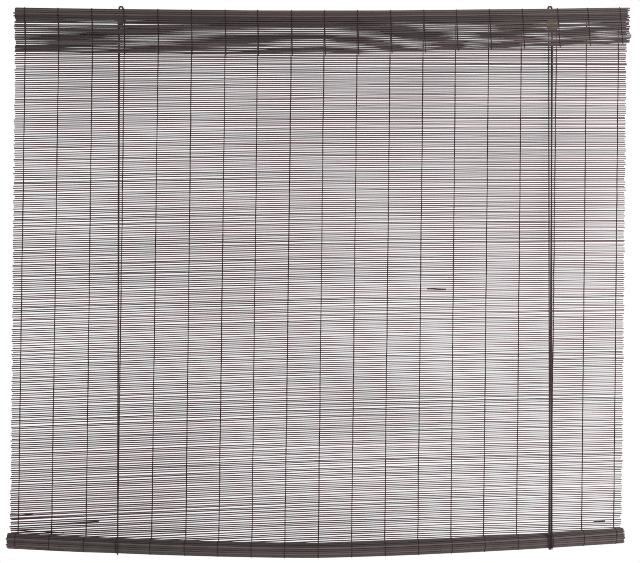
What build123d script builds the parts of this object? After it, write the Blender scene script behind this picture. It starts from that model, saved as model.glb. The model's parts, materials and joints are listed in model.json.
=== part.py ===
"""Bamboo roll-up blind: a woven mat of thin slats folded over a headrail, with a cord lift.

Millimetres. +X runs to the right along the blind, +Y towards the wall, +Z up.
The origin lies midway between the two hanger holes, on the wall plane.
"""

import os
from math import cos, hypot, pi, radians, sin, tan

from build123d import *

# Overall size of the woven mat
WIDTH = 1800.0
DROP = 1554.0
CENTRE_X = -42.0
LEAN = -17.0

# Wall mounting
HANGER_SPACING = 1266.0
HANGER_HOLE_D = 5.0
HANGER_W = 15.0
HANGER_T = 1.5
HANGER_TAB = 7.0
HANGER_LEG = 17.0
HANGER_SCREW_RISE = 7.0
HANGER_CORNER = 3.7
RAIL_BELOW_HOLE = 3.0

# Headrail
RAIL_H = 30.0
RAIL_DEPTH = 14.0
RAIL_SAG = 9.0

# Slats and warp strings
SLAT_FACE = 3.2
SLAT_T = 1.5
SLAT_PITCH = 6.0
SLAT_STAGGER = 2.5
STAGGER_STEP = 2.4
STRING_T = 0.6
STRING_W = 2.0
STRING_COUNT = 19
FIRST_STRING = 28.5
STRING_PITCH = 97.4

# Front flap
VALANCE_SLATS = 21
VALANCE_DROP_LEFT = 127.0
VALANCE_DROP_RIGHT = 103.0
VALANCE_LEAN = 3.0
VALANCE_FIRST_ROW = 3

# Roll at the foot
ROLL_R = 25.0
ROLL_TURNS = 4
ROLL_GAP = 0.9
ROLL_SAG = 36.0
ROLL_RISE_RIGHT = 14.8
ROLL_OVERHANG = 3.0
SEGMENTS_PER_TURN = 12
LATH_H = 14.0
LATH_T = 5.0
LATH_SHORT = 12.0

# Cords and clearances
CORD_D = 3.4
CORD_SIDES = 8
CLEAR = 0.3
PIN_CLEAR = 0.05
TRAVERSE_GAP = 1.0
CORD_SLANT = 0.8
LOOP_SHARE = 0.95
TURN_SHARE = 0.98
SHEAVE_EXIT = 2.0
LEFT_FOOT_SHIFT = -3.0
LEFT_REAR_SHIFT = 1.0
LIFT_FOOT = -3.0
FRONT_PULL_FOOT = 2.8
REAR_PULL_FOOT = 8.4
LIFT_REAR = 10.0
TAIL_RISE = 34.0
KNOT_W = 9.5
KNOT_H = 8.0
KNOT_BEVEL = 0.8
STAPLE_WIRE = 0.8
STAPLE_DEPTH = 12.0
STAPLE_ROW = 4
STAPLE_CLEAR = 0.2
CORD_STUB = 1.6

# Sheaves
SHEAVE_W = 5.0
GROOVE_SLOPE = 12.0
AXLE_R = 1.0
LEFT_PITCH_R = 5.0
LOCK_PITCH_R = 4.5

# Pressed sheet metal
SHEET = 1.2
SCREW_HOLE_D = 3.4
FORK_EAR = 9.0
FORK_RIM = 1.2
EAR_CORNER = 2.0

# Cord lock
LOCK_X = 631.0
LOCK_LEFT = 10.5
LOCK_RIGHT = 23.0
LOCK_H = 32.0
CAM_PIVOT_X = 15.5
CAM_PIVOT_DROP = 9.5
CAM_HUB_R = 3.4
CAM_TEETH = 8
CAM_TOOTH = 0.8
CAM_GROWTH = 2.0
CAM_SPAN = 60.0
CAM_FIRST = -15.0
ANVIL_R = 1.3
LOCK_CORNER_R = 4.0
LOCK_FOOT_LEFT = 2.6
LOCK_FOOT_RIGHT = 11.5
LOCK_TAPER_LEFT = 16.0
LOCK_TAPER_RIGHT = 8.0

# Layers of the mat, counted from the wall plane towards the front
CRANK = 2.6
REAR_SLAT_Y = -(HANGER_T + CRANK + HANGER_T)
REAR_OUTER_Y = REAR_SLAT_Y + STRING_T
REAR_INNER_Y = REAR_SLAT_Y - SLAT_T
RAIL_REAR_Y = REAR_INNER_Y - STRING_T
RAIL_FRONT_Y = RAIL_REAR_Y - RAIL_DEPTH
RAIL_MID_Y = RAIL_REAR_Y - RAIL_DEPTH / 2
FRONT_SLAT_Y = RAIL_FRONT_Y - STRING_T
FRONT_OUTER_Y = FRONT_SLAT_Y - SLAT_T
MAT_T = SLAT_T + 2 * STRING_T

HALF = WIDTH / 2
RAIL_STATIONS = (-HALF, -HALF / 3, HALF / 3, HALF)
MAT_STATIONS = (-HALF, 0.0, HALF)
ROLL_STATIONS = (-HALF, -HALF / 2, 0.0, HALF / 2, HALF)
SLAT_ROWS = round(DROP / SLAT_PITCH)
RAIL_ROWS = round(RAIL_H / SLAT_PITCH)
ROLL_CENTRE_Y = REAR_OUTER_Y - ROLL_R
CORD_R = CORD_D / 2


def bow(u):
    """Share of the full sag at u, the distance from the middle in half widths."""
    return 1 - abs(u) ** 1.5


def spanned(curve, x, stations):
    """Height at x of straight spans between the points of curve at the stations."""
    for left, right in zip(stations, stations[1:]):
        if x <= right or right == HALF:
            share = (x - left) / (right - left)
            return curve(left) + share * (curve(right) - curve(left))


def rail_curve(x):
    return -RAIL_BELOW_HOLE - RAIL_SAG * bow(x / HALF)


def roll_curve(x):
    level = -RAIL_BELOW_HOLE - DROP
    return level - ROLL_SAG * bow(x / HALF) + ROLL_RISE_RIGHT * x / WIDTH


def rail_top(x):
    return spanned(rail_curve, x, RAIL_STATIONS)


def roll_axis(x):
    """Height of the middle of the roll, straight between its stations."""
    return spanned(roll_curve, x, ROLL_STATIONS)


def valance_drop(x):
    """Length of the front flap, shorter towards the right."""
    return VALANCE_DROP_LEFT - (VALANCE_DROP_LEFT - VALANCE_DROP_RIGHT) * max(0.0, x / HALF)


def valance_height(x, share):
    """Height of the front flap at x, from 0 at the headrail's top to 1 at its foot."""
    return spanned(rail_curve, x, MAT_STATIONS) - share * valance_drop(x)


def mat_height(x, share):
    """Height of the hanging mat at x, from 0 at the headrail's top to 1 at the roll."""
    top = spanned(rail_curve, x, MAT_STATIONS)
    return top + share * (spanned(roll_axis, x, MAT_STATIONS) - top)


def stagger(row):
    """Uneven slat ends: a small repeatable shift for each row."""
    return SLAT_STAGGER * sin(STAGGER_STEP * row)


def slat(height, stations, face_y, shift):
    """One slat of the mat; height(x) gives its middle, face_y its rear face."""
    upper = [(CENTRE_X + x + shift, height(x) + SLAT_FACE / 2) for x in stations]
    lower = [(px, pz - SLAT_FACE) for px, pz in reversed(upper)]
    with BuildPart() as strip:
        with BuildSketch(Plane.XZ.offset(-face_y)):
            with BuildLine():
                Polyline(*upper, *lower, close=True)
            make_face()
        extrude(amount=SLAT_T)
    return strip.part


def finish(shape, name):
    """Label a finished piece and write it."""
    shape.label = name
    export_step(shape, f"parts/{name}.step")
    print(f"{name}: volume {shape.volume:.1f}")


os.makedirs("parts", exist_ok=True)

# Headrail: a sagging batten

with BuildPart() as headrail:
    with BuildSketch(Plane.XZ.offset(-RAIL_REAR_Y)):
        with BuildLine():
            upper_edge = [(CENTRE_X + x, rail_top(x)) for x in RAIL_STATIONS]
            lower_edge = [(x, z - RAIL_H) for x, z in reversed(upper_edge)]
            Polyline(*upper_edge, *lower_edge, close=True)
        make_face()
    extrude(amount=RAIL_DEPTH)
finish(headrail.part, "headrail")

# Slats: behind the headrail, over its top, down the front flap and down to the roll

rear_slats = []
for row in range(RAIL_ROWS):
    depth = (row + 0.5) * SLAT_PITCH
    rear_slats.append(
        slat(lambda x: rail_top(x) - depth, RAIL_STATIONS, REAR_SLAT_Y, stagger(row))
    )
finish(Compound(children=rear_slats), "headrail_slats")

hanging_slats = []
for row in range(RAIL_ROWS, SLAT_ROWS):
    share = (row + 0.5) / SLAT_ROWS
    shift = LEAN * share + stagger(row)
    hanging_slats.append(
        slat(lambda x: mat_height(x, share), MAT_STATIONS, REAR_SLAT_Y, shift)
    )
finish(Compound(children=hanging_slats), "hanging_slats")

valance_slats = []
for row in range(VALANCE_SLATS):
    share = (row + 0.5) / VALANCE_SLATS
    shift = VALANCE_LEAN * share + stagger(row + VALANCE_FIRST_ROW)
    valance_slats.append(
        slat(lambda x: valance_height(x, share), MAT_STATIONS, FRONT_SLAT_Y, shift)
    )
finish(Compound(children=valance_slats), "valance_slats")



def string_x(number):
    """Place of a warp string along the headrail, from the middle of the mat."""
    return -HALF + FIRST_STRING + number * STRING_PITCH


def string_top(x):
    """Headrail's highest point under the width of a warp string."""
    return max(rail_top(x - STRING_W / 2), rail_top(x + STRING_W / 2))


# The folded slats lie on the strings, each of which is level while the headrail slopes
string_places = [string_x(number) for number in range(STRING_COUNT)]
steepest = max(
    abs(rail_top(x + STRING_W / 2) - rail_top(x - STRING_W / 2)) for x in string_places
)
FOLD_RISE = STRING_T + steepest

top_slats = []
for side in (-1, 1):
    top_y = RAIL_MID_Y + side * SLAT_PITCH / 2 + SLAT_FACE / 2
    with BuildPart() as top_slat:
        with BuildSketch(Plane.XZ.offset(-top_y)):
            with BuildLine():
                upper = [
                    (CENTRE_X + x, rail_top(x) + FOLD_RISE + SLAT_T) for x in RAIL_STATIONS
                ]
                lower = [(px, pz - SLAT_T) for px, pz in reversed(upper)]
                Polyline(*upper, *lower, close=True)
            make_face()
        extrude(amount=SLAT_FACE)
    top_slats.append(top_slat.part)
finish(Compound(children=top_slats), "top_slats")

# Warp strings: each goes down both faces of the slats


def fold_run(x, rear_y, front_y, top_z, rear_z, front_z):
    """One run of a warp string over the headrail: the band lies outside the given faces."""
    t = STRING_T
    with BuildPart() as band:
        with BuildSketch(Plane.YZ.offset(CENTRE_X + x - STRING_W / 2)):
            with BuildLine():
                Polyline(
                    (rear_y, rear_z),
                    (rear_y, top_z),
                    (front_y, top_z),
                    (front_y, front_z),
                    (front_y - t, front_z),
                    (front_y - t, top_z + t),
                    (rear_y + t, top_z + t),
                    (rear_y + t, rear_z),
                    close=True,
                )
            make_face()
        extrude(amount=STRING_W)
    return band.part


fold_runs = []
for x in string_places:
    top = string_top(x)
    rear_end = rail_top(x) - RAIL_H
    front_end = top - valance_drop(x)
    fold_runs.append(fold_run(x, RAIL_REAR_Y, RAIL_FRONT_Y, top, rear_end, front_end))
    over = top + FOLD_RISE + SLAT_T
    fold_runs.append(fold_run(x, REAR_SLAT_Y, FRONT_OUTER_Y, over, rear_end, front_end))
finish(Compound(children=fold_runs), "valance_strings")

for number, x in enumerate(string_places, start=1):
    head = rail_top(x) - RAIL_H
    head_x = CENTRE_X + x - STRING_W / 2
    foot = mat_height(x, 1.0) + CLEAR
    runs = []
    for face_y in (REAR_OUTER_Y, REAR_INNER_Y):
        with BuildPart() as run:
            with BuildSketch(Plane.XZ.offset(-face_y)):
                with BuildLine():
                    Polyline(
                        (head_x, head),
                        (head_x + STRING_W, head),
                        (head_x + STRING_W + LEAN, foot),
                        (head_x + LEAN, foot),
                        close=True,
                    )
                make_face()
            extrude(amount=STRING_T)
        runs.append(run.part)
    finish(Compound(children=runs), f"warp_string_{number:02d}")

# Roll: the foot of the mat wound forward on itself, and the lath in its core


def roll_outline(centre_z):
    """Closed outline of the wound mat, from its rear edge inwards."""
    steps = ROLL_TURNS * SEGMENTS_PER_TURN
    winding = MAT_T + ROLL_GAP
    outer = []
    inner = []
    for step in range(steps + 1):
        angle = step * 2 * pi / SEGMENTS_PER_TURN
        radius = ROLL_R - winding * step / SEGMENTS_PER_TURN
        for edge, r in ((outer, radius), (inner, radius - MAT_T)):
            edge.append((ROLL_CENTRE_Y + r * cos(angle), centre_z - r * sin(angle)))
    return outer + inner[::-1]


ROLL_X = CENTRE_X + LEAN
with BuildPart() as roll:
    for left, right in zip(ROLL_STATIONS, ROLL_STATIONS[1:]):
        start = left - ROLL_OVERHANG * (left == -HALF)
        end = right + ROLL_OVERHANG * (right == HALF)
        rise = roll_curve(right) - roll_curve(left)
        with BuildSketch(Plane.YZ.offset(ROLL_X + start)):
            with BuildLine():
                Polyline(*roll_outline(roll_curve(left)), close=True)
            make_face()
        extrude(amount=hypot(end - start, rise), dir=(end - start, 0, rise))
finish(roll.part, "roll")

with BuildPart() as bottom_lath:
    for left, right in zip(ROLL_STATIONS, ROLL_STATIONS[1:]):
        start = left + LATH_SHORT * (left == -HALF)
        end = right - LATH_SHORT * (right == HALF)
        rise = roll_curve(right) - roll_curve(left)
        with BuildSketch(Plane.YZ.offset(ROLL_X + start)):
            with Locations((ROLL_CENTRE_Y, roll_curve(left))):
                Rectangle(LATH_T, LATH_H)
        extrude(amount=hypot(end - start, rise), dir=(end - start, 0, rise))
finish(bottom_lath.part, "bottom_lath")

# Hangers: cranked steel plates on the back of the headrail

for side, name in ((-1, "hanger_left"), (1, "hanger_right")):
    x = side * HANGER_SPACING / 2
    rail_edge = rail_top(x - CENTRE_X)
    leg_foot = rail_edge - HANGER_LEG
    bend = rail_edge + STRING_T + SLAT_T
    with BuildPart() as hanger:
        with BuildSketch(Plane.YZ.offset(x - HANGER_W / 2)):
            with BuildLine():
                Polyline(
                    (REAR_SLAT_Y, leg_foot),
                    (REAR_SLAT_Y + HANGER_T, leg_foot),
                    (REAR_SLAT_Y + HANGER_T, bend - CRANK - HANGER_T),
                    (0, bend - HANGER_T),
                    (0, HANGER_TAB),
                    (-HANGER_T, HANGER_TAB),
                    (-HANGER_T, bend),
                    (REAR_SLAT_Y, bend - CRANK),
                    close=True,
                )
            make_face()
        extrude(amount=HANGER_W)
        chamfer(hanger.edges().filter_by(Axis.Y).group_by(Axis.Z)[-1], HANGER_CORNER)
        with BuildSketch(Plane.XZ):
            with Locations((x, 0)):
                Circle(HANGER_HOLE_D / 2)
            with Locations((x, leg_foot + HANGER_SCREW_RISE)):
                Circle(SCREW_HOLE_D / 2)
        extrude(amount=-REAR_SLAT_Y, mode=Mode.SUBTRACT)
    finish(hanger.part, name)

# Sheaves, turning on pins along Y


def sheave(x, y, z, pitch_r):
    """Grooved wheel for one cord; the groove clears the cord by CLEAR and flares to a thin rim."""
    room = CORD_R + CLEAR
    groove_r = pitch_r - room
    rim_r = pitch_r + room
    half_w = SHEAVE_W / 2
    floor_w = room * tan(radians((90 - GROOVE_SLOPE) / 2))
    with BuildPart() as wheel:
        with BuildSketch(Plane((x, y, z))):
            with BuildLine():
                Polyline(
                    (AXLE_R + PIN_CLEAR, -half_w),
                    (rim_r, -half_w),
                    (groove_r, -floor_w),
                    (groove_r, floor_w),
                    (rim_r, half_w),
                    (AXLE_R + PIN_CLEAR, half_w),
                    close=True,
                )
            make_face()
        revolve(axis=Axis((x, y, z), (0, 1, 0)))
    return wheel.part


def pin(x, rear_y, front_y, z, radius):
    """Plain pin along Y."""
    with BuildPart() as rod:
        with BuildSketch(Plane.XZ.offset(-rear_y)):
            with Locations((x, z)):
                Circle(radius)
        extrude(amount=rear_y - front_y)
    return rod.part


def seat_under_rail(low_x, high_x):
    """Lowest point of the headrail's underside between two places."""
    return min(rail_top(x - CENTRE_X) for x in (low_x, high_x)) - RAIL_H


# Left pulley: fork, sheave and axle

PULLEY_X = -HANGER_SPACING / 2
lip_left = LEFT_PITCH_R + CORD_R + CLEAR
fork_half = lip_left + FORK_RIM
fork_seat = seat_under_rail(PULLEY_X - fork_half - FORK_EAR, PULLEY_X + fork_half + FORK_EAR)
traverse_z = rail_top(0) - RAIL_H - CORD_R - TRAVERSE_GAP
pulley_z = traverse_z - LEFT_PITCH_R
fork_inner = SHEAVE_W / 2 + CLEAR
fork_outer = fork_inner + SHEET
fork_foot = pulley_z - fork_half

with BuildPart() as left_pulley_fork:
    with BuildSketch(Plane.XZ.offset(-RAIL_MID_Y - fork_outer)):
        with BuildLine():
            Polyline(
                (PULLEY_X - fork_half, pulley_z),
                (PULLEY_X - fork_half, fork_seat),
                (PULLEY_X + fork_half, fork_seat),
                (PULLEY_X + fork_half, pulley_z),
            )
            ThreePointArc(
                (PULLEY_X + fork_half, pulley_z),
                (PULLEY_X, fork_foot),
                (PULLEY_X - fork_half, pulley_z),
            )
        make_face()
    extrude(amount=2 * fork_outer)
    with BuildSketch(Plane.YZ.offset(PULLEY_X - fork_half)):
        with Locations((RAIL_MID_Y, fork_seat - SHEET)):
            Rectangle(2 * fork_inner, fork_seat - fork_foot, align=(Align.CENTER, Align.MAX))
    extrude(amount=2 * fork_half, mode=Mode.SUBTRACT)
    with BuildSketch(Plane.XY.offset(fork_seat - SHEET)):
        with Locations((PULLEY_X, RAIL_MID_Y)):
            Rectangle(2 * (fork_half + FORK_EAR), 2 * fork_outer)
            with GridLocations(2 * fork_half + FORK_EAR, 0, 2, 1):
                Circle(SCREW_HOLE_D / 2, mode=Mode.SUBTRACT)
    extrude(amount=SHEET)
    upright = left_pulley_fork.edges().filter_by(Axis.Z).group_by(Axis.X)
    chamfer(upright[0] + upright[-1], EAR_CORNER)
    with BuildSketch(Plane.XZ.offset(-RAIL_MID_Y - fork_outer)):
        with Locations((PULLEY_X, pulley_z)):
            Circle(AXLE_R + PIN_CLEAR)
    extrude(amount=2 * fork_outer, mode=Mode.SUBTRACT)
finish(left_pulley_fork.part, "left_pulley_fork")

finish(sheave(PULLEY_X, RAIL_MID_Y, pulley_z, LEFT_PITCH_R), "left_sheave")
left_axle = pin(PULLEY_X, RAIL_MID_Y + fork_outer, RAIL_MID_Y - fork_outer, pulley_z, AXLE_R)
finish(left_axle, "left_axle")

# Cord lock: channel housing, two sheaves side by side, toothed cam and anvil

lock_seat = seat_under_rail(LOCK_X - LOCK_LEFT, LOCK_X + LOCK_RIGHT)
lock_z = traverse_z - LOCK_PITCH_R
sheave_offset = SHEAVE_W / 2 + CLEAR / 2
lock_inner = sheave_offset + SHEAVE_W / 2 + CLEAR
lock_outer = lock_inner + SHEET
front_sheave_y = RAIL_MID_Y - sheave_offset
rear_sheave_y = RAIL_MID_Y + sheave_offset
cam_x = LOCK_X + CAM_PIVOT_X
cam_z = lock_z - CAM_PIVOT_DROP
pull_x = LOCK_X + LOCK_PITCH_R
anvil_x = pull_x - CORD_R - CLEAR - ANVIL_R
lock_foot = lock_seat - LOCK_H
pin_places = ((LOCK_X, lock_z, AXLE_R), (cam_x, cam_z, AXLE_R), (anvil_x, cam_z, ANVIL_R))

with BuildPart() as lock_housing:
    with BuildSketch(Plane.XZ.offset(-RAIL_MID_Y - lock_outer)) as lock_outline:
        with BuildLine():
            Polyline(
                (LOCK_X - LOCK_LEFT, lock_seat),
                (LOCK_X + LOCK_RIGHT, lock_seat),
                (LOCK_X + LOCK_RIGHT, lock_foot + LOCK_TAPER_RIGHT),
                (LOCK_X + LOCK_FOOT_RIGHT, lock_foot),
                (LOCK_X - LOCK_FOOT_LEFT, lock_foot),
                (LOCK_X - LOCK_LEFT, lock_foot + LOCK_TAPER_LEFT),
                close=True,
            )
        make_face()
        fillet(lock_outline.vertices().sort_by(Axis.Y)[:2], LOCK_CORNER_R)
    extrude(amount=2 * lock_outer)
    with BuildSketch(Plane.YZ.offset(LOCK_X - LOCK_LEFT)):
        with Locations((RAIL_MID_Y, lock_seat - SHEET)):
            Rectangle(2 * lock_inner, LOCK_H, align=(Align.CENTER, Align.MAX))
    extrude(amount=LOCK_LEFT + LOCK_RIGHT, mode=Mode.SUBTRACT)
    with BuildSketch(Plane.XZ.offset(-RAIL_MID_Y - lock_outer)):
        for hole_x, hole_z, hole_r in pin_places:
            with Locations((hole_x, hole_z)):
                Circle(hole_r + PIN_CLEAR)
    extrude(amount=2 * lock_outer, mode=Mode.SUBTRACT)
finish(lock_housing.part, "lock_housing")

finish(sheave(LOCK_X, front_sheave_y, lock_z, LOCK_PITCH_R), "lock_sheave_front")
finish(sheave(LOCK_X, rear_sheave_y, lock_z, LOCK_PITCH_R), "lock_sheave_rear")
for (hole_x, hole_z, hole_r), name in zip(pin_places, ("lock_axle", "cam_pin", "lock_anvil")):
    rod = pin(hole_x, RAIL_MID_Y + lock_outer, RAIL_MID_Y - lock_outer, hole_z, hole_r)
    finish(rod, name)

cam_reach = CAM_PIVOT_X - LOCK_PITCH_R - CORD_R - CLEAR
tooth_angle = CAM_SPAN / CAM_TEETH
with BuildPart() as lock_cam:
    with BuildSketch(Plane.XZ.offset(-RAIL_MID_Y - lock_inner + CLEAR)):
        with BuildLine():
            nose = []
            for half_tooth in range(2 * CAM_TEETH + 1):
                angle = CAM_FIRST + half_tooth * tooth_angle / 2
                tip = cam_reach + CAM_GROWTH * angle / CAM_SPAN
                reach = tip - CAM_TOOTH * (half_tooth % 2)
                direction = radians(180 + angle)
                nose.append((cam_x + reach * cos(direction), cam_z + reach * sin(direction)))
            tail = (cam_x + CAM_HUB_R, cam_z - CAM_HUB_R)
            crown = (cam_x + CAM_HUB_R, cam_z + CAM_HUB_R)
            Polyline(*nose, tail, crown, close=True)
        make_face()
        with Locations((cam_x, cam_z)):
            Circle(AXLE_R + PIN_CLEAR, mode=Mode.SUBTRACT)
    extrude(amount=2 * (lock_inner - CLEAR))
finish(lock_cam.part, "lock_cam")

# Cords


def tube(points, radii, name):
    """Cord along straight runs joined by tangent arcs, eight-sided to keep its mesh light."""
    with BuildPart() as cord:
        with BuildLine() as line:
            FilletPolyline(*points, radius=radii)
        route = line.wire()
        with BuildSketch(Plane(origin=route @ 0, z_dir=route % 0)):
            section = RegularPolygon(CORD_R, CORD_SIDES)
        sweep(path=route)
    print(f"{name}: length {route.length:.1f}, radii {[round(r, 1) for r in radii]}")
    print(f"{name}: section times length {section.area * route.length:.1f}")
    finish(cord.part, name)


loop_front_y = ROLL_CENTRE_Y - ROLL_R + (MAT_T + ROLL_GAP) / 2 - CORD_SLANT - CLEAR - CORD_R
loop_rear_y = REAR_OUTER_Y + CLEAR + CORD_R
loop_r = LOOP_SHARE * (loop_rear_y - loop_front_y) / 2


def loop_floor(x):
    """Height of a cord's centre line where it passes under the roll."""
    return roll_curve(x - ROLL_X) - ROLL_R - CLEAR - CORD_R


def staple_z(x):
    """Height of the staple that holds the end of a lift cord, between two slats."""
    return mat_height(x - CENTRE_X, STAPLE_ROW / SLAT_ROWS)


def lift_cord(x, y, z, front_x, rear_x, name):
    """From a sheave down the front, under the roll and up behind the mat."""
    floor_z = loop_floor(front_x)
    points = [
        (x, y, z),
        (front_x, loop_front_y, floor_z),
        (front_x, loop_rear_y, floor_z),
        (rear_x, loop_rear_y, staple_z(rear_x) + CORD_STUB),
    ]
    tube(points, [loop_r, loop_r], name)


def pull_cord(y, front_x, name):
    """From the cord lock down the front, under the roll and up behind it to the knot."""
    floor_z = loop_floor(front_x)
    points = [
        (pull_x, y, lock_foot),
        (front_x, loop_front_y, floor_z),
        (front_x, loop_rear_y, floor_z),
        (front_x, loop_rear_y, knot_foot),
    ]
    tube(points, [loop_r, loop_r], name)


left_front_x = PULLEY_X - LEFT_PITCH_R
left_rear_x = left_front_x + LEFT_REAR_SHIFT
left_exit_z = pulley_z - SHEAVE_EXIT
left_foot_x = left_front_x + LEFT_FOOT_SHIFT
lift_cord(left_front_x, RAIL_MID_Y, left_exit_z, left_foot_x, left_rear_x, "lift_cord_left")

lock_exit_z = lock_z - SHEAVE_EXIT
right_front_x = LOCK_X - LOCK_PITCH_R
right_rear_x = LOCK_X + LIFT_REAR
lift_foot_x = LOCK_X + LIFT_FOOT
lift_cord(right_front_x, front_sheave_y, lock_exit_z, lift_foot_x, right_rear_x, "lift_cord_right")

front_pull_x = LOCK_X + FRONT_PULL_FOOT
rear_pull_x = LOCK_X + REAR_PULL_FOOT
knot_x = (front_pull_x + rear_pull_x) / 2
knot_foot = loop_floor(knot_x) + TAIL_RISE
pull_cord(front_sheave_y, front_pull_x, "pull_cord_front")
pull_cord(rear_sheave_y, rear_pull_x, "pull_cord_rear")

crossing = [
    (left_front_x, RAIL_MID_Y, left_exit_z),
    (left_front_x, RAIL_MID_Y, traverse_z),
    (pull_x, rear_sheave_y, traverse_z),
    (pull_x, rear_sheave_y, lock_foot),
]
tube(crossing, [LEFT_PITCH_R, LOCK_PITCH_R], "crossing_cord")

turning = [
    (right_front_x, front_sheave_y, lock_exit_z),
    (right_front_x, front_sheave_y, traverse_z),
    (pull_x, front_sheave_y, traverse_z),
    (pull_x, front_sheave_y, lock_foot),
]
tube(turning, [TURN_SHARE * LOCK_PITCH_R] * 2, "lock_cord")

# Knot that ties the two pull cords behind the roll

knot_rear_y = -CLEAR
knot_front_y = loop_rear_y - CORD_R
with BuildPart() as pull_cord_knot:
    with BuildSketch(Plane.XY.offset(knot_foot)):
        with Locations((knot_x, (knot_rear_y + knot_front_y) / 2)):
            Rectangle(KNOT_W, knot_rear_y - knot_front_y)
    extrude(amount=KNOT_H)
    chamfer(pull_cord_knot.edges().group_by(Axis.Z)[-1], KNOT_BEVEL)
finish(pull_cord_knot.part, "pull_cord_knot")

# Staples that hold the rear ends of the lift cords to the headrail

staples = []
for x in (left_rear_x, right_rear_x):
    inner_half = CORD_R + STAPLE_CLEAR
    outer_half = inner_half + STAPLE_WIRE
    crown_y = loop_rear_y + CORD_R
    tip_y = crown_y - STAPLE_DEPTH
    with BuildPart() as staple:
        with BuildSketch(Plane.XY.offset(staple_z(x) - STAPLE_WIRE / 2)):
            with BuildLine():
                Polyline(
                    (x - outer_half, tip_y),
                    (x - outer_half, crown_y + STAPLE_WIRE),
                    (x + outer_half, crown_y + STAPLE_WIRE),
                    (x + outer_half, tip_y),
                    (x + inner_half, tip_y),
                    (x + inner_half, crown_y),
                    (x - inner_half, crown_y),
                    (x - inner_half, tip_y),
                    close=True,
                )
            make_face()
        extrude(amount=STAPLE_WIRE)
    staples.append(staple.part)
finish(Compound(children=staples), "cord_staples")

# Joint centres and cord ends

centres = {
    "left_sheave": (PULLEY_X, RAIL_MID_Y, pulley_z),
    "lock_sheave_front": (LOCK_X, front_sheave_y, lock_z),
    "lock_sheave_rear": (LOCK_X, rear_sheave_y, lock_z),
    "cam": (cam_x, RAIL_MID_Y, cam_z),
    "left_exit": (left_front_x, RAIL_MID_Y, left_exit_z),
    "lock_exit": (right_front_x, front_sheave_y, lock_exit_z),
    "lock_foot": (pull_x, RAIL_MID_Y, lock_foot),
}
for name, place in centres.items():
    print(f"centre {name}: {[round(value, 3) for value in place]}")
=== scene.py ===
"""Looks of a bamboo roll-up blind: woven slats, twisted yarns, cords and small hardware.

Metres. +X runs to the right along the blind, +Y towards the wall, +Z up.
"""

import json
from math import cos, pi, radians, sin

import bpy
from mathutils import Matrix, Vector


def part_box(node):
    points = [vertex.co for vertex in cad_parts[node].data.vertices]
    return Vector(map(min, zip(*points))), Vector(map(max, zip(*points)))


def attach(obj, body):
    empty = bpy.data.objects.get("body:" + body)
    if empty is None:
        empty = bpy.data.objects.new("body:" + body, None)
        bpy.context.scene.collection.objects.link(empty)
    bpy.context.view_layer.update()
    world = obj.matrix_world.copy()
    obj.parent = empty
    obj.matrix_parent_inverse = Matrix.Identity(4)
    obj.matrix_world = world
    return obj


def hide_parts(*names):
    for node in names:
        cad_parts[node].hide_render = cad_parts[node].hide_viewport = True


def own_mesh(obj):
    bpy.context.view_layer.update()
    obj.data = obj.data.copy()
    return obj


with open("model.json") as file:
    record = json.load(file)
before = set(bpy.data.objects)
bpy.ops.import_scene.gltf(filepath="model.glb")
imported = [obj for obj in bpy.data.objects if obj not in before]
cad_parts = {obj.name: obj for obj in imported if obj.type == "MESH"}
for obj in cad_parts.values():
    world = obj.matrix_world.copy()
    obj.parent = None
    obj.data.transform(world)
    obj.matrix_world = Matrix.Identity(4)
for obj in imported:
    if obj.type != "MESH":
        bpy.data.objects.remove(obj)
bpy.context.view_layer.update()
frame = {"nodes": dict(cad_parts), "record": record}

# Photograph's scale and camera
FRAME_W = 640
FRAME_H = 563
PIXEL = 0.002948
ORIGIN_PX = (335.5, 8.0)
CAMERA_DISTANCE = 4.0
SENSOR_MM = 36.0

# The woven mat
WIDTH = 1.8
DROP = 1.554
CENTRE_X = -0.042
LEAN = -0.017
RAIL_BELOW_HOLE = 0.003
RAIL_SAG = 0.009
RAIL_H = 0.030
ROLL_SAG = 0.036
ROLL_RISE_RIGHT = 0.0148
SLAT_PITCH = 0.006
SLAT_FACE = 0.0032
SLAT_T = 0.0015
STRING_T = 0.0006
STRING_COUNT = 19
FIRST_STRING = 0.0285
STRING_PITCH = 0.0974
VALANCE_ROWS = 20
VALANCE_FACE = 0.0044
VALANCE_DROP = 0.127
VALANCE_LIFT_RIGHT = 0.024
ROLL_R = 0.025
ROLL_TURNS = 4
ROLL_GAP = 0.0009
ROLL_FACE = 0.0054

# Cords
CORD_D = 0.0034
TRAVEL = 1.37


def middle_y(node):
    """Depth of the middle of a CAD node."""
    low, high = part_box(node)
    return (low[1] + high[1]) / 2


HALF = WIDTH / 2
RAIL_ROWS = round(RAIL_H / SLAT_PITCH)
MAT_T = SLAT_T + 2 * STRING_T
MAT_TOP = -RAIL_BELOW_HOLE
ROLL_LEVEL = MAT_TOP - DROP
REAR_Y = middle_y("headrail_slats")
FRONT_Y = middle_y("valance_slats")
ROLL_Y = REAR_Y + MAT_T / 2 - ROLL_R
OVER_RAIL = STRING_T + SLAT_T / 2


def bow(u):
    """Share of the full sag at u, the distance from the middle in half widths."""
    return 1 - abs(u) ** 1.5


def rail_top(x):
    return MAT_TOP - RAIL_SAG * bow(x / HALF)


def roll_axis(x):
    return ROLL_LEVEL - ROLL_SAG * bow(x / HALF) + ROLL_RISE_RIGHT * x / WIDTH


def string_x(number):
    return -HALF + FIRST_STRING + number * STRING_PITCH


# Node trees written as expressions


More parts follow.
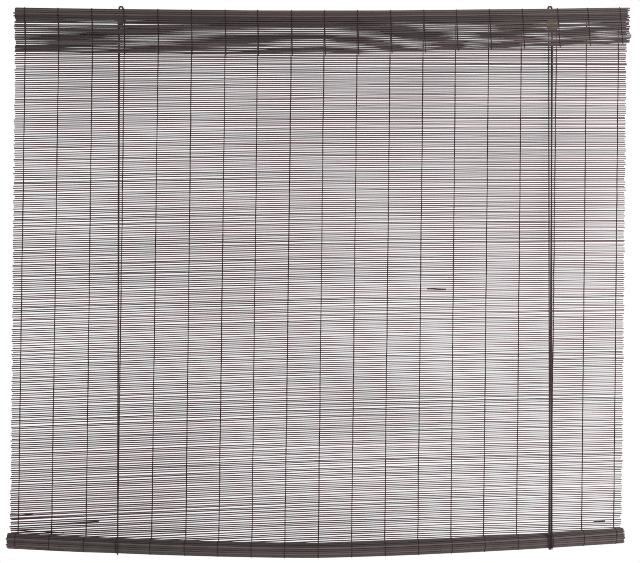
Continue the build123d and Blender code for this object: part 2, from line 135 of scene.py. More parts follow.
class Socket:
    """An output of a node, with arithmetic that adds Math nodes."""

    def __init__(self, tree, socket):
        self.tree = tree
        self.socket = socket

    def other(self, output):
        """Another output of the same node."""
        return Socket(self.tree, self.socket.node.outputs[output])

    def math(self, operation, *values):
        return self.tree.math(operation, self, *values)

    def __add__(self, value):
        return self.math("ADD", value)

    def __radd__(self, value):
        return self.math("ADD", value)

    def __sub__(self, value):
        return self.math("SUBTRACT", value)

    def __rsub__(self, value):
        return self.tree.math("SUBTRACT", value, self)

    def __mul__(self, value):
        return self.math("MULTIPLY", value)

    def __rmul__(self, value):
        return self.math("MULTIPLY", value)

    def __truediv__(self, value):
        return self.math("DIVIDE", value)

    def __pow__(self, value):
        return self.math("POWER", value)

    def __abs__(self):
        return self.math("ABSOLUTE")


class Tree:
    """A shader or geometry node tree."""

    def __init__(self, tree):
        self.tree = tree

    def add(self, kind, settings=None, sockets=None, output=0):
        """A node with its settings, then its sockets' values or links; gives one output."""
        node = self.tree.nodes.new(kind)
        for name, value in (settings or {}).items():
            if name == "stops":
                for stop, (place, colour) in zip(self.stops(node, len(value)), value):
                    stop.position = place
                    stop.color = (*colour, 1.0)
            else:
                setattr(node, name, value)
        for key, value in (sockets or {}).items():
            if isinstance(value, Socket):
                self.tree.links.new(value.socket, node.inputs[key])
            else:
                node.inputs[key].default_value = value
        return Socket(self, node.outputs[output]) if node.outputs else None

    def stops(self, node, count):
        elements = node.color_ramp.elements
        while len(elements) < count:
            elements.new(1.0)
        return elements

    def math(self, operation, *values):
        return self.add("ShaderNodeMath", {"operation": operation}, dict(enumerate(values)))

    def vector(self, operation, *values):
        return self.add("ShaderNodeVectorMath", {"operation": operation}, dict(enumerate(values)))

    def combine(self, x, y, z):
        return self.add("ShaderNodeCombineXYZ", None, {"X": x, "Y": y, "Z": z})

    def split(self, vector):
        x = self.add("ShaderNodeSeparateXYZ", None, {"Vector": vector})
        return x, x.other("Y"), x.other("Z")

    def mix_colour(self, factor, a, b, blend="MIX"):
        settings = {"data_type": "RGBA", "blend_type": blend}
        return self.add("ShaderNodeMix", settings, {0: factor, 6: a, 7: b}, 2)

    def noise(self, vector, scale, detail=2.0, rough=0.5):
        sockets = {"Vector": vector, "Scale": scale, "Detail": detail, "Roughness": rough}
        return self.add("ShaderNodeTexNoise", None, sockets)

    def ramp(self, factor, stops):
        return self.add("ShaderNodeValToRGB", {"stops": stops}, {"Fac": factor})


# Finishes

# Painted light through the slats: the tint that makes slats marked backlit brighter and redder
BACKLIT_TINT = (1.65, 1.17, 1.42, 1.0)
JOINTS_PER_METRE = 2.7
JOINT_HALF_SHARE = 0.0025
JOINT_SCATTER = 9.0
JOINT_TONE = (0.015, 0.010, 0.009, 1.0)
YARN_TWIST = 5200.0
YARN_SLANT = 0.8
BRAID_TWIST = 1150.0
BRAID_STRANDS = 4


def shader(name, build, metallic=0.0, specular=0.5):
    """A material whose build(tree) gives colour, roughness and bump height with its depth."""
    material = bpy.data.materials.new(name)
    material.use_nodes = True
    material.node_tree.nodes.clear()
    tree = Tree(material.node_tree)
    colour, roughness, height, depth = build(tree)
    normal = tree.add("ShaderNodeBump", None, {"Strength": 1.0, "Distance": depth, "Height": height})
    surface = tree.add(
        "ShaderNodeBsdfPrincipled",
        None,
        {
            "Base Color": colour,
            "Roughness": roughness,
            "Metallic": metallic,
            "Specular IOR Level": specular,
            "Normal": normal,
        },
    )
    tree.add("ShaderNodeOutputMaterial", None, {"Surface": surface})
    return material


def object_place(tree):
    return tree.add("ShaderNodeTexCoord", None, None, "Object")


def slat_mark(tree, label):
    """A number kept on each slat of the woven mat."""
    return tree.add("ShaderNodeAttribute", {"attribute_name": label}, None, "Fac")


def stretched(tree, scale):
    """Object coordinates scaled along each axis."""
    return tree.vector("MULTIPLY", object_place(tree), scale)


def stained_bamboo(tree):
    """Split bamboo: long fibres, a tone of its own for each slat, and dark joints of the cane; slats marked
    backlit get painted light, brighter and redder as if lit through from behind.
    """
    x = tree.split(object_place(tree))[0]
    tone = slat_mark(tree, "tone")
    fibre = tree.noise(stretched(tree, (14.0, 900.0, 900.0)), 1.0, 3.0, 0.6)
    cloud = tree.noise(stretched(tree, (3.0, 8.0, 40.0)), 1.0, 2.0, 0.5)
    shade = 0.50 * tone + 0.32 * fibre + 0.30 * cloud
    colour = tree.ramp(
        shade,
        [
            (0.15, (0.012, 0.008, 0.008)),
            (0.45, (0.030, 0.021, 0.021)),
            (0.70, (0.056, 0.041, 0.040)),
            (0.95, (0.110, 0.084, 0.080)),
        ],
    )
    # Painted light: slats marked backlit, the single hanging layer, are made brighter and redder as if
    # white light shone through them
    colour = tree.mix_colour(slat_mark(tree, "backlit"), colour, BACKLIT_TINT, "MULTIPLY")
    along = (x * JOINTS_PER_METRE + tone * JOINT_SCATTER).math("FRACT")
    joint = (JOINT_HALF_SHARE - abs(along - 0.5)).math("GREATER_THAN", 0.0)
    colour = tree.mix_colour(joint * 0.5, colour, JOINT_TONE)
    return colour, 0.42 + 0.30 * fibre, fibre + joint * 0.6, 0.0003


def stained_batten(tree):
    """Softwood batten: straight growth lines along its length."""
    lines = tree.noise(stretched(tree, (4.0, 300.0, 420.0)), 1.0, 4.0, 0.65)
    pores = tree.noise(stretched(tree, (60.0, 1800.0, 1800.0)), 1.0, 2.0, 0.5)
    colour = tree.ramp(
        lines * 0.75 + pores * 0.25,
        [(0.25, (0.026, 0.016, 0.013)), (0.55, (0.060, 0.038, 0.031)), (0.80, (0.110, 0.074, 0.058))],
    )
    return colour, 0.55 + 0.25 * pores, lines * 0.5 + pores * 0.5, 0.0004


def warp_yarn(tree):
    """Twisted cotton: slanting strands with loose fibres."""
    x, _, z = tree.split(object_place(tree))
    strand = ((z + x * YARN_SLANT) * YARN_TWIST).math("SINE")
    fuzz = tree.noise(stretched(tree, (900.0, 900.0, 500.0)), 1.0, 3.0, 0.7)
    colour = tree.ramp(
        0.5 + 0.22 * strand + 0.5 * (fuzz - 0.5),
        [(0.1, (0.008, 0.003, 0.003)), (0.55, (0.024, 0.009, 0.009)), (1.0, (0.085, 0.034, 0.028))],
    )
    return colour, 0.80 + 0.15 * fuzz, strand * 0.5 + fuzz, 0.0002


def braided_cord(tree):
    """Braid: two sets of strands crossing round the cord, on the cord's own map."""
    across, along, _ = tree.split(tree.add("ShaderNodeUVMap", {"uv_map": "lay"}))
    angle = across * (BRAID_STRANDS * 2 * pi)
    lead = along * BRAID_TWIST
    weave = (lead + angle).math("SINE").math("MAXIMUM", (lead - angle).math("SINE"))
    fuzz = tree.noise(stretched(tree, (1200.0, 1200.0, 700.0)), 1.0, 3.0, 0.7)
    colour = tree.ramp(
        0.42 + 0.28 * weave + 0.4 * (fuzz - 0.5),
        [(0.0, (0.005, 0.003, 0.003)), (0.5, (0.016, 0.010, 0.010)), (1.0, (0.060, 0.040, 0.038))],
    )
    return colour, 0.72 + 0.2 * fuzz, weave + 0.4 * fuzz, 0.0003


def worn_metal(dark, light, scale, rough):
    """Metal with fine scratches and dulled patches between two tones."""

    def build(tree):
        patch = tree.noise(stretched(tree, (scale, scale, scale)), 1.0, 4.0, 0.6)
        scratch = tree.noise(stretched(tree, (scale * 20, scale * 3, scale * 8)), 1.0, 3.0, 0.7)
        wear = patch * 0.65 + scratch * 0.35
        colour = tree.ramp(wear, [(0.30, dark), (0.70, light)])
        return colour, rough + 0.35 * (patch - 0.35), scratch + patch, 0.0002

    return build


def moulded_plastic(tree):
    """Moulded sheave: faint flow marks and cord grime."""
    flow = tree.noise(stretched(tree, (160.0, 60.0, 160.0)), 1.0, 3.0, 0.55)
    grime = tree.noise(stretched(tree, (520.0, 520.0, 520.0)), 1.0, 3.0, 0.6)
    colour = tree.ramp(
        flow * 0.4 + grime * 0.6,
        [(0.30, (0.36, 0.33, 0.28)), (0.55, (0.62, 0.60, 0.54)), (0.80, (0.74, 0.72, 0.67))],
    )
    return colour, 0.38 + 0.2 * grime, flow, 0.0001


def pale_floor(tree):
    speck = tree.noise(stretched(tree, (6.0, 6.0, 6.0)), 1.0, 2.0, 0.5)
    colour = tree.ramp(speck, [(0.3, (0.80, 0.80, 0.79)), (0.7, (0.84, 0.84, 0.83))])
    return colour, 0.85, speck, 0.0001


finishes = {
    "stained_bamboo": shader("stained_bamboo", stained_bamboo, specular=0.35),
    "stained_batten": shader("stained_batten", stained_batten, specular=0.3),
    "warp_yarn": shader("warp_yarn", warp_yarn, specular=0.15),
    "cord": shader("braided_cord", braided_cord, specular=0.2),
    "black_steel": shader(
        "black_steel", worn_metal((0.010, 0.010, 0.011), (0.045, 0.043, 0.042), 90.0, 0.45)
    ),
    "bright_steel": shader(
        "bright_steel", worn_metal((0.34, 0.34, 0.35), (0.62, 0.62, 0.63), 160.0, 0.32), metallic=1.0
    ),
    "brass": shader(
        "dulled_brass", worn_metal((0.13, 0.09, 0.05), (0.42, 0.31, 0.19), 120.0, 0.42), metallic=1.0
    ),
    "cam_brass": shader(
        "cast_brass", worn_metal((0.30, 0.20, 0.09), (0.62, 0.45, 0.21), 200.0, 0.48), metallic=1.0
    ),
    "sheave_plastic": shader("moulded_plastic", moulded_plastic),
}

# Camera, straight in front of the mat as in the photograph


def add_camera():
    data = bpy.data.cameras.new("studio_camera")
    data.sensor_width = SENSOR_MM
    data.lens = SENSOR_MM * CAMERA_DISTANCE / (FRAME_W * PIXEL)
    camera = new_object("studio_camera", data)
    camera.location = (
        (FRAME_W / 2 - ORIGIN_PX[0]) * PIXEL,
        REAR_Y - CAMERA_DISTANCE,
        -(FRAME_H / 2 - ORIGIN_PX[1]) * PIXEL,
    )
    camera.rotation_euler = (radians(90), 0, 0)
    bpy.context.scene.camera = camera


def new_object(name, data):
    thing = bpy.data.objects.new(name, data)
    bpy.context.scene.collection.objects.link(thing)
    return thing


add_camera()

# Cords: each a tube round its own smooth line


def plain_mesh(source):
    """The evaluated object's mesh, with source itself removed."""
    graph = bpy.context.evaluated_depsgraph_get()
    mesh = bpy.data.meshes.new_from_object(source.evaluated_get(graph), depsgraph=graph)
    data = source.data
    bpy.data.objects.remove(source)
    bpy.data.curves.remove(data)
    return mesh


def smooth_line(points, steps=24):
    """Points along a NURBS spline that has the route's points as its control points."""
    data = bpy.data.curves.new("route", "CURVE")
    data.dimensions = "3D"
    data.resolution_u = steps
    spline = data.splines.new("NURBS")
    spline.points.add(len(points) - 1)
    for point, place in zip(spline.points, points):
        point.co = (*place, 1.0)
    spline.order_u = 3
    spline.use_endpoint_u = True
    mesh = plain_mesh(new_object("route", data))
    line = [vertex.co.copy() for vertex in mesh.vertices]
    bpy.data.meshes.remove(mesh)
    return line


def ring_points(centre, radius, side, up, sides):
    """Points evenly round a circle in the plane of side and up."""
    angles = [step * 2 * pi / sides for step in range(sides)]
    return [centre + radius * (cos(angle) * side + sin(angle) * up) for angle in angles]


def ring_faces(rings, sides):
    """Faces that join each ring of points to the next, then the two ends."""
    faces = []
    for ring in range(rings - 1):
        for step in range(sides):
            a = ring * sides + step
            b = ring * sides + (step + 1) % sides
            faces.append((a, b, b + sides, a + sides))
    last = (rings - 1) * sides
    faces.append(tuple(reversed(range(sides))))
    faces.append(tuple(last + step for step in range(sides)))
    return faces


def tube(name, line, radius, sides=10):
    """Closed round tube along line, with a map of its round and its length in metres."""
    mesh = bpy.data.meshes.new(name)
    vertices = []
    lengths = [0.0]
    side = Vector((1, 0, 0))
    for index, place in enumerate(line):
        ahead = line[min(index + 1, len(line) - 1)] - line[max(index - 1, 0)]
        ahead.normalize()
        side = (side - ahead * side.dot(ahead)).normalized()
        if index:
            lengths.append(lengths[-1] + (place - line[index - 1]).length)
        vertices += ring_points(place, radius, side, ahead.cross(side), sides)
    mesh.from_pydata(vertices, [], ring_faces(len(line), sides))
    lay = mesh.uv_layers.new(name="lay")
    walls = sides * (len(line) - 1)
    for polygon in mesh.polygons:
        wraps = polygon.index < walls and polygon.index % sides == sides - 1
        for loop in polygon.loop_indices:
            corner = mesh.loops[loop].vertex_index
            step = corner % sides
            turn = 1.0 if wraps and step == 0 else step / sides
            lay.data[loop].uv = (turn, lengths[corner // sides])
    mesh.shade_smooth()
    return new_object(name, mesh)


def lay_cord(name, points, anchor_z=None, floor_z=None):
    """A cord along points, in place of its CAD node; with anchor_z given it gets a mesh of its own."""
    line = smooth_line(points)
    cord = tube(name + "_braid", line, CORD_D / 2)
    cord.data.materials.append(finishes["cord"])
    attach(cord, "headrail_body")
    if anchor_z is not None:
        keep = 1 - TRAVEL / (anchor_z - floor_z)
        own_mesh(cord)
    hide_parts(name)


# A knot's steps, and the reach and middle of its wave formulas, which keep each within 1 of zero
KNOT_STEPS = 72
KNOT_REACH = 2.76
KNOT_HIGH_MIDDLE = 0.37
KNOT_HIGH_REACH = 2.63


def overhand_knot(name, centre, size, radius):
    """A tight knot: one strand over and under itself, size across, deep and high."""
    room = [edge / 2 - radius for edge in size]
    line = []
    for step in range(KNOT_STEPS + 1):
        t = step * 2 * pi / KNOT_STEPS
        across = (sin(t) + 2 * sin(2 * t)) / KNOT_REACH
        over = -sin(3 * t)
        high = (2 * cos(2 * t) - cos(t) - KNOT_HIGH_MIDDLE) / KNOT_HIGH_REACH
        line.append(Vector(centre) + Vector((across * room[0], over * room[1], high * room[2])))
    return tube(name, line, radius)


# Cord routes: heads as in the part's source, and loops that slant so that their two runs fall in line

SHEAVE_LEAD = 0.017
LOOP_LEAD = 0.052
LOOP_FRONT_Y = -0.056
LOOP_REAR_Y = -0.003
LOOP_BELOW = 0.027
TAIL_RISE = 0.034
KNOT_SIZE = (0.0095, 0.0044, 0.008)
KNOT_X = 0.6366
KNOT_Y = -0.0025
KNOT_STRAND_R = 0.0013
KNOT_BITE = 0.0015
TRAVERSE_Z = -0.042968


def loop_floor(x):
    """Height of a cord's centre line where it passes under the roll."""
    return roll_axis(x - CENTRE_X - LEAN) - LOOP_BELOW


def toward(start, end, distance):
    """The point that lies distance from start on the way to end."""
    start = Vector(start)
    return start + (Vector(end) - start).normalized() * distance


def loop_route(head, front_x, rear_x, end):
    """From head down the front, under the roll and up the back to end, with a point near each bend."""
    front = (front_x, LOOP_FRONT_Y, loop_floor(front_x))
    rear = (rear_x, LOOP_REAR_Y, loop_floor(rear_x))
    rise = min(LOOP_LEAD, abs(end[2] - rear[2]) / 2)
    return [
        head,
        toward(head, front, SHEAVE_LEAD),
        toward(front, head, LOOP_LEAD),
        front,
        rear,
        toward(rear, end, rise),
        end,
    ]


left_exit = (-0.638, -0.0147, -0.049968)
lock_exit = (0.6265, -0.01735, -0.049468)
pull_exit_front = (0.6355, -0.01735, -0.067877)
pull_exit_rear = (0.6355, -0.01205, -0.067877)

knot_foot = loop_floor(KNOT_X) + TAIL_RISE
tail_end = knot_foot + KNOT_BITE
loops = {
    "lift_cord_left": (left_exit, -0.6350, -0.6425, (-0.637, LOOP_REAR_Y, -0.02867)),
    "lift_cord_right": (lock_exit, 0.6226, 0.6290, (0.641, LOOP_REAR_Y, -0.02758)),
    "pull_cord_front": (pull_exit_front, 0.6262, 0.6343, (0.6343, LOOP_REAR_Y, tail_end)),
    "pull_cord_rear": (pull_exit_rear, 0.6298, 0.6389, (0.6389, LOOP_REAR_Y, tail_end)),
}
knot = overhand_knot(
    "tied_knot", (KNOT_X, KNOT_Y, knot_foot + KNOT_SIZE[2] / 2), KNOT_SIZE, KNOT_STRAND_R
)
knot.data.materials.append(finishes["cord"])
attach(knot, "roll_body")
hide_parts("pull_cord_knot")
for name, (head, front_x, rear_x, end) in loops.items():
    lay_cord(
        name,
        loop_route(head, front_x, rear_x, end),
        anchor_z=head[2],
        floor_z=loop_floor(front_x),
    )

lay_cord(
    "crossing_cord",
    [
        left_exit,
        (-0.638, -0.0147, TRAVERSE_Z),
        (-0.618, -0.01466, TRAVERSE_Z),
        (0.6155, -0.01209, TRAVERSE_Z),
        (0.6355, -0.01205, TRAVERSE_Z),
        (0.6355, -0.01205, -0.0597),
        pull_exit_rear,
    ],
)
lay_cord(
    "lock_cord",
    [lock_exit, (0.6265, -0.01735, TRAVERSE_Z), (0.6355, -0.01735, TRAVERSE_Z), pull_exit_front],
)

# The woven mat: slats laid across a run, and yarns twisted round them


def geometry_tree(name, inputs):
    """An empty geometry tree with its named inputs, and those inputs as sockets."""
    tree = bpy.data.node_groups.new(name, "GeometryNodeTree")
    tree.interface.new_socket("Geometry", in_out="INPUT", socket_type="NodeSocketGeometry")
    for label, kind in inputs:
        tree.interface.new_socket(label, in_out="INPUT", socket_type="NodeSocket" + kind)
    tree.interface.new_socket("Geometry", in_out="OUTPUT", socket_type="NodeSocketGeometry")
    made = Tree(tree)
    entry = made.add("NodeGroupInput")
    sockets = {label: entry.other(label) for label, kind in inputs}
    return made, entry.other("Geometry"), sockets


def close_tree(tree, geometry, material):
    whole = tree.add("GeometryNodeRealizeInstances", None, {"Geometry": geometry})
    dressed = tree.add("GeometryNodeSetMaterial", None, {"Geometry": whole, "Material": material})
    tree.add("NodeGroupOutput", None, {"Geometry": dressed})
    return tree.tree


def chance(tree, low, high, index, seed):
    """A random number for each point."""
    sockets = {2: low, 3: high, "ID": index, "Seed": seed}
    return tree.add("FunctionNodeRandomValue", {"data_type": "FLOAT"}, sockets, 1)


def store(tree, geometry, label, value):
    """The geometry with a number kept at each of its points under a label."""
    return tree.add(
        "GeometryNodeStoreNamedAttribute",
        {"data_type": "FLOAT", "domain": "POINT"},
        {"Geometry": geometry, "Name": label, "Value": value},
    )


def named(tree, label):
    return tree.add("GeometryNodeInputNamedAttribute", {"data_type": "FLOAT"}, {"Name": label})


def positive(value):
    """The value where it is above zero, and zero elsewhere."""
    return value.math("MAXIMUM", 0.0)


def sway(tree, x, y, scale, seed, detail=2.0, rough=0.5):
    """Smooth noise about zero over x and y, each multiplied by its own scale."""
    place = tree.combine(x * scale[0], y * scale[1], seed)
    return tree.noise(place, 1.0, detail, rough) - 0.5


def ring(tree, sides, radius):
    return tree.add(
        "GeometryNodeCurvePrimitiveCircle", {"mode": "RADIUS"}, {"Resolution": sides, "Radius": radius}
    )


def bar_section(tree, deep, face):
    """A six-sided outline, deep from point to point and face from flat to flat."""
    size = tree.combine(deep, face / cos(pi / BAR_SIDES), 1.0)
    return tree.add("GeometryNodeTransform", None, {"Geometry": ring(tree, BAR_SIDES, 0.5), "Scale": size})


def swept(tree, curve, section):
    """A closed solid with the section along the curve."""
    return tree.add(
        "GeometryNodeCurveToMesh", None, {"Curve": curve, "Profile Curve": section, "Fill Caps": True}
    )


BAR_SIDES = 6
YARN_SIDES = 4
SLAT_POINTS = 33
LENGTH_SPREAD = 0.4
HEAD_ZONE = 0.16
FOOT_ZONE = 0.25
JUST_ON_ROLL = 1e-7

# Noise scales across the width and from slat to slat, or across the strings and along them
WAVE_SCALE = (2.2, 0.33)
RIPPLE_SCALE = (8.0, 1.7)
PATCH_SCALE = (1.6, 5.0)
DRIFT_SCALE = (11.0, 9.0)


def slat_tree():
    """Rows of uneven slats along a run, bowed across their width, that bend round the roll at its axis."""
    tree, run, put = geometry_tree(
        "slats_along_run",
        [
            ("Rows", "Int"), ("First Share", "Float"), ("Last Share", "Float"),
            ("Width", "Float"), ("Face", "Float"), ("Thickness", "Float"), ("Centre", "Float"),
            ("Sag Head", "Float"), ("Sag Foot", "Float"), ("Sag Fade", "Float"),
            ("Tilt", "Float"), ("Lift", "Float"), ("Lean", "Float"), ("Stagger", "Float"),
            ("Slope Error", "Float"), ("Wave", "Float"), ("Ripple", "Float"), ("Jitter", "Float"),
            ("Patch", "Float"), ("Dense Head", "Float"), ("Thin Right", "Float"),
            ("Dense Left", "Float"), ("Roll Level", "Float"), ("Roll Sag", "Float"),
            ("Roll Tilt", "Float"), ("Roll Y", "Float"), ("Roll Radius", "Float"),
            ("Cut At Roll", "Float"), ("Against Light", "Float"), ("Seed", "Int"),
            ("Material", "Material"),
        ],
    )
    points = tree.add("GeometryNodeCurveToPoints", {"mode": "COUNT"}, {"Curve": run, "Count": put["Rows"]})
    index = tree.add("GeometryNodeInputIndex")
    share = index / (put["Rows"] - 1.0)
    marks = {
        "share": put["First Share"] + share * (put["Last Share"] - put["First Share"]),
        "tone": chance(tree, 0.0, 1.0, index, put["Seed"]),
        "shift": chance(tree, -1.0, 1.0, index, put["Seed"] + 1.0),
        "slope": chance(tree, -1.0, 1.0, index, put["Seed"] + 2.0),
        "jump": chance(tree, -1.0, 1.0, index, put["Seed"] + 3.0),
        "row": index,
        "backlit": put["Against Light"],
    }
    placed = points
    for label, value in marks.items():
        placed = store(tree, placed, label, value)
    mark = {label: named(tree, label) for label in marks}

    line = tree.add("GeometryNodeCurvePrimitiveLine", None, {"Start": (-1, 0, 0), "End": (1, 0, 0)})
    spans = tree.add("GeometryNodeResampleCurve", None, {"Curve": line, "Count": SLAT_POINTS})
    bar = swept(tree, spans, bar_section(tree, put["Thickness"], put["Face"]))
    bar = store(tree, bar, "rim", tree.split(tree.add("GeometryNodeInputPosition"))[2])
    upright = {"axis": "Z", "pivot_axis": "X"}
    turn = tree.add("FunctionNodeAlignRotationToVector", upright, {"Vector": points.other("Tangent")})
    rows = tree.add(
        "GeometryNodeInstanceOnPoints", None, {"Points": placed, "Instance": bar, "Rotation": turn}
    )
    whole = tree.add("GeometryNodeRealizeInstances", None, {"Geometry": rows})
    u, y, z = tree.split(tree.add("GeometryNodeInputPosition"))
    right = positive(u)
    left = positive(0.0 - u)

    fade = positive(1.0 - mark["share"] / put["Sag Fade"])
    sag = put["Sag Foot"] + fade * (put["Sag Head"] - put["Sag Foot"])
    bowed = z - sag * bow(u) + mark["share"] * (put["Tilt"] * u / 2 + put["Lift"] * right)
    wave = sway(tree, u, mark["row"], WAVE_SCALE, put["Seed"], rough=0.6)
    ripple = sway(tree, u, mark["row"], RIPPLE_SCALE, put["Seed"] + 0.3, detail=1.0)
    uneven = bowed + put["Slope Error"] * mark["slope"] * u + put["Wave"] * wave
    uneven = uneven + put["Ripple"] * ripple + put["Jitter"] * mark["jump"]

    patch = sway(tree, u, mark["share"], PATCH_SCALE, put["Seed"] + 0.5)
    near_head = positive(1.0 - mark["share"] / HEAD_ZONE)
    near_foot = positive(1.0 - (1.0 - mark["share"]) / FOOT_ZONE)
    fuller = put["Patch"] * patch + put["Dense Head"] * near_head + put["Dense Left"] * near_foot * left
    fuller = fuller - put["Thin Right"] * mark["share"] * right
    uneven = uneven - named(tree, "rim") * fuller

    axis = put["Roll Level"] - put["Roll Sag"] * bow(u) + put["Roll Tilt"] * u / 2
    below = positive(axis - uneven)
    angle = below / put["Roll Radius"]
    radius = y - put["Roll Y"]
    turned_y = put["Roll Y"] + radius * angle.math("COSINE")
    turned_z = uneven.math("MAXIMUM", axis) - radius * angle.math("SINE")
    across = put["Centre"] + put["Lean"] * mark["share"] + put["Stagger"] * mark["shift"]
    long = u * (put["Width"] / 2 + put["Stagger"] * LENGTH_SPREAD * mark["tone"])
    moved = tree.add(
        "GeometryNodeSetPosition",
        None,
        {
            "Geometry": store(tree, whole, "on_roll", below),
            "Position": tree.combine(across + long, turned_y, turned_z),
        },
    )
    kept = tree.add(
        "GeometryNodeDeleteGeometry",
        {"domain": "FACE"},
        {"Geometry": moved, "Selection": put["Cut At Roll"] * (named(tree, "on_roll") - JUST_ON_ROLL)},
    )
    return close_tree(tree, kept, put["Material"])


def yarn_tree():
    """Two yarns twisted round each other along every run, crossing between the slats."""
    tree, runs, put = geometry_tree(
        "twisted_yarns",
        [
            ("Pitch", "Float"), ("Swing", "Float"), ("Side", "Float"), ("Radius", "Float"),
            ("Drift", "Float"), ("Seed", "Int"), ("Material", "Material"),
        ],
    )
    steps = tree.add(
        "GeometryNodeResampleCurve", {"mode": "LENGTH"}, {"Curve": runs, "Length": put["Pitch"] / 2}
    )
    length = tree.add("GeometryNodeSplineParameter").other("Length")
    phase = length * pi / put["Pitch"]
    tangent = tree.add("GeometryNodeInputTangent")
    out = tree.vector("NORMALIZE", tree.vector("CROSS_PRODUCT", tangent, (1.0, 0.0, 0.0)))
    swing = phase.math("COSINE") * put["Swing"]
    side = phase.math("SINE") * put["Side"]
    x = tree.split(tree.add("GeometryNodeInputPosition"))[0]
    drift = sway(tree, x, length, DRIFT_SCALE, put["Seed"]) * put["Drift"]
    section = ring(tree, YARN_SIDES, put["Radius"])
    strands = []
    for sense in (1.0, -1.0):
        reach = swing * sense
        push = tree.vector("MULTIPLY", out, tree.combine(reach, reach, reach))
        offset = tree.vector("ADD", push, tree.combine(side * sense + drift, 0.0, 0.0))
        moved = tree.add("GeometryNodeSetPosition", None, {"Geometry": steps, "Offset": offset})
        strands.append(swept(tree, moved, section))
    both = tree.add("GeometryNodeJoinGeometry", None, {"Geometry": strands[0]})
    tree.tree.links.new(strands[1].socket, both.socket.node.inputs["Geometry"])
    return close_tree(tree, both, put["Material"])


def bar_tree():
    """A six-sided bar along every run, Wide by Deep."""
    tree, runs, put = geometry_tree(
        "bars_along_runs", [("Wide", "Float"), ("Deep", "Float"), ("Material", "Material")]
    )
    bars = swept(tree, runs, bar_section(tree, put["Deep"], put["Wide"]))
    return close_tree(tree, bars, put["Material"])


def runs_curve(name, runs):
    """A curve object with one straight-sided spline for each run of points."""
    data = bpy.data.curves.new(name, "CURVE")
    data.dimensions = "3D"
    for run in runs:
        spline = data.splines.new("POLY")
        spline.points.add(len(run) - 1)
        for point, place in zip(spline.points, run):
            point.co = (*place, 1.0)
    return new_object(name, data)


def grow(name, tree, runs, values, body, slot, nodes):
    """The mesh that a tree makes along the runs, riding on its body in place of CAD nodes."""
    source = runs_curve(name + "_run", runs)
    modifier = source.modifiers.new(name, "NODES")
    modifier.node_group = tree
    identifiers = {
        item.name: item.identifier for item in tree.interface.items_tree if item.in_out == "INPUT"
    }
    for label, value in {**values, "Material": finishes[slot]}.items():
        modifier[identifiers[label]] = value
    mesh = plain_mesh(source)
    mesh.name = name
    piece = new_object(name, mesh)
    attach(piece, body)
    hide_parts(*nodes)
    return piece


slats = slat_tree()
yarns = yarn_tree()
bars = bar_tree()

NO_ROLL = -10.0
TURN_R = ROLL_R - MAT_T / 2
TURN_STEP = MAT_T + ROLL_GAP
SPIRAL_STEPS = 24
SLAT = {
    "Width": WIDTH, "Face": SLAT_FACE, "Thickness": SLAT_T, "Centre": CENTRE_X,
    "Sag Head": RAIL_SAG, "Sag Foot": RAIL_SAG, "Sag Fade": 1.0, "Tilt": 0.0, "Lift": 0.0,
    "Lean": 0.0, "Stagger": 0.0025, "Slope Error": 0.0007, "Wave": 0.0022, "Ripple": 0.0012,
    "Jitter": 0.0, "Patch": 0.0, "Dense Head": 0.0, "Thin Right": 0.0, "Dense Left": 0.0,
    "Roll Level": NO_ROLL, "Roll Sag": 0.0, "Roll Tilt": 0.0, "Roll Y": ROLL_Y, "Roll Radius": ROLL_R,
    "Cut At Roll": 0.0, "Against Light": 0.0,
}
YARN = {
    "Pitch": SLAT_PITCH, "Swing": SLAT_T / 2 + STRING_T / 2, "Side": 0.0010,
    "Radius": 0.0010, "Drift": 0.0030, "Seed": 5,
}
EVEN_YARN = {**YARN, "Drift": 0.001}


def down_run(y, start, end):
    """One run straight down at depth y, between two distances below the mat's top."""
    return [[(0, y, MAT_TOP - start), (0, y, MAT_TOP - end)]]


# The mat hangs askew: its slats rise to the right, and the roll has taken up more of them on the left

SKEW = 0.072
ARCH = 0.006
low_foot = ROLL_LEVEL - ROLL_SAG
mat_rows = round(-low_foot / SLAT_PITCH)
first = (RAIL_ROWS + 0.5) / mat_rows
last = (mat_rows - 0.5) / mat_rows
MAT = {
    **SLAT, "Rows": mat_rows - RAIL_ROWS, "First Share": first, "Last Share": last,
    "Sag Foot": -ARCH, "Sag Fade": 0.1, "Tilt": SKEW, "Lean": LEAN, "Seed": 11,
    "Jitter": 0.0007, "Ripple": 0.0022, "Patch": 0.5, "Dense Head": 0.22, "Thin Right": 0.30,
    "Dense Left": 0.25, "Roll Level": ROLL_LEVEL, "Roll Sag": ROLL_SAG,
    "Roll Tilt": ROLL_RISE_RIGHT, "Roll Radius": TURN_R, "Against Light": 1.0,
}
mat_run = down_run(REAR_Y, first * (DROP + ROLL_SAG), last * (DROP + ROLL_SAG))
hanging_slats = grow(
    "woven_hanging_slats", slats, mat_run, {**MAT, "Cut At Roll": 1.0},
    "headrail_body", "stained_bamboo", ["hanging_slats"],
)
grow(
    "slats_onto_roll", slats, mat_run, {**MAT, "Cut At Roll": -1.0},
    "roll_body", "stained_bamboo", [],
)
grow(
    "woven_headrail_slats", slats,
    down_run(REAR_Y, 0.5 * SLAT_PITCH, (RAIL_ROWS - 0.5) * SLAT_PITCH),
    {**SLAT, "Rows": RAIL_ROWS, "First Share": 0.0, "Last Share": 0.02, "Wave": 0.0006, "Seed": 23},
    "headrail_body", "stained_bamboo", ["headrail_slats"],
)

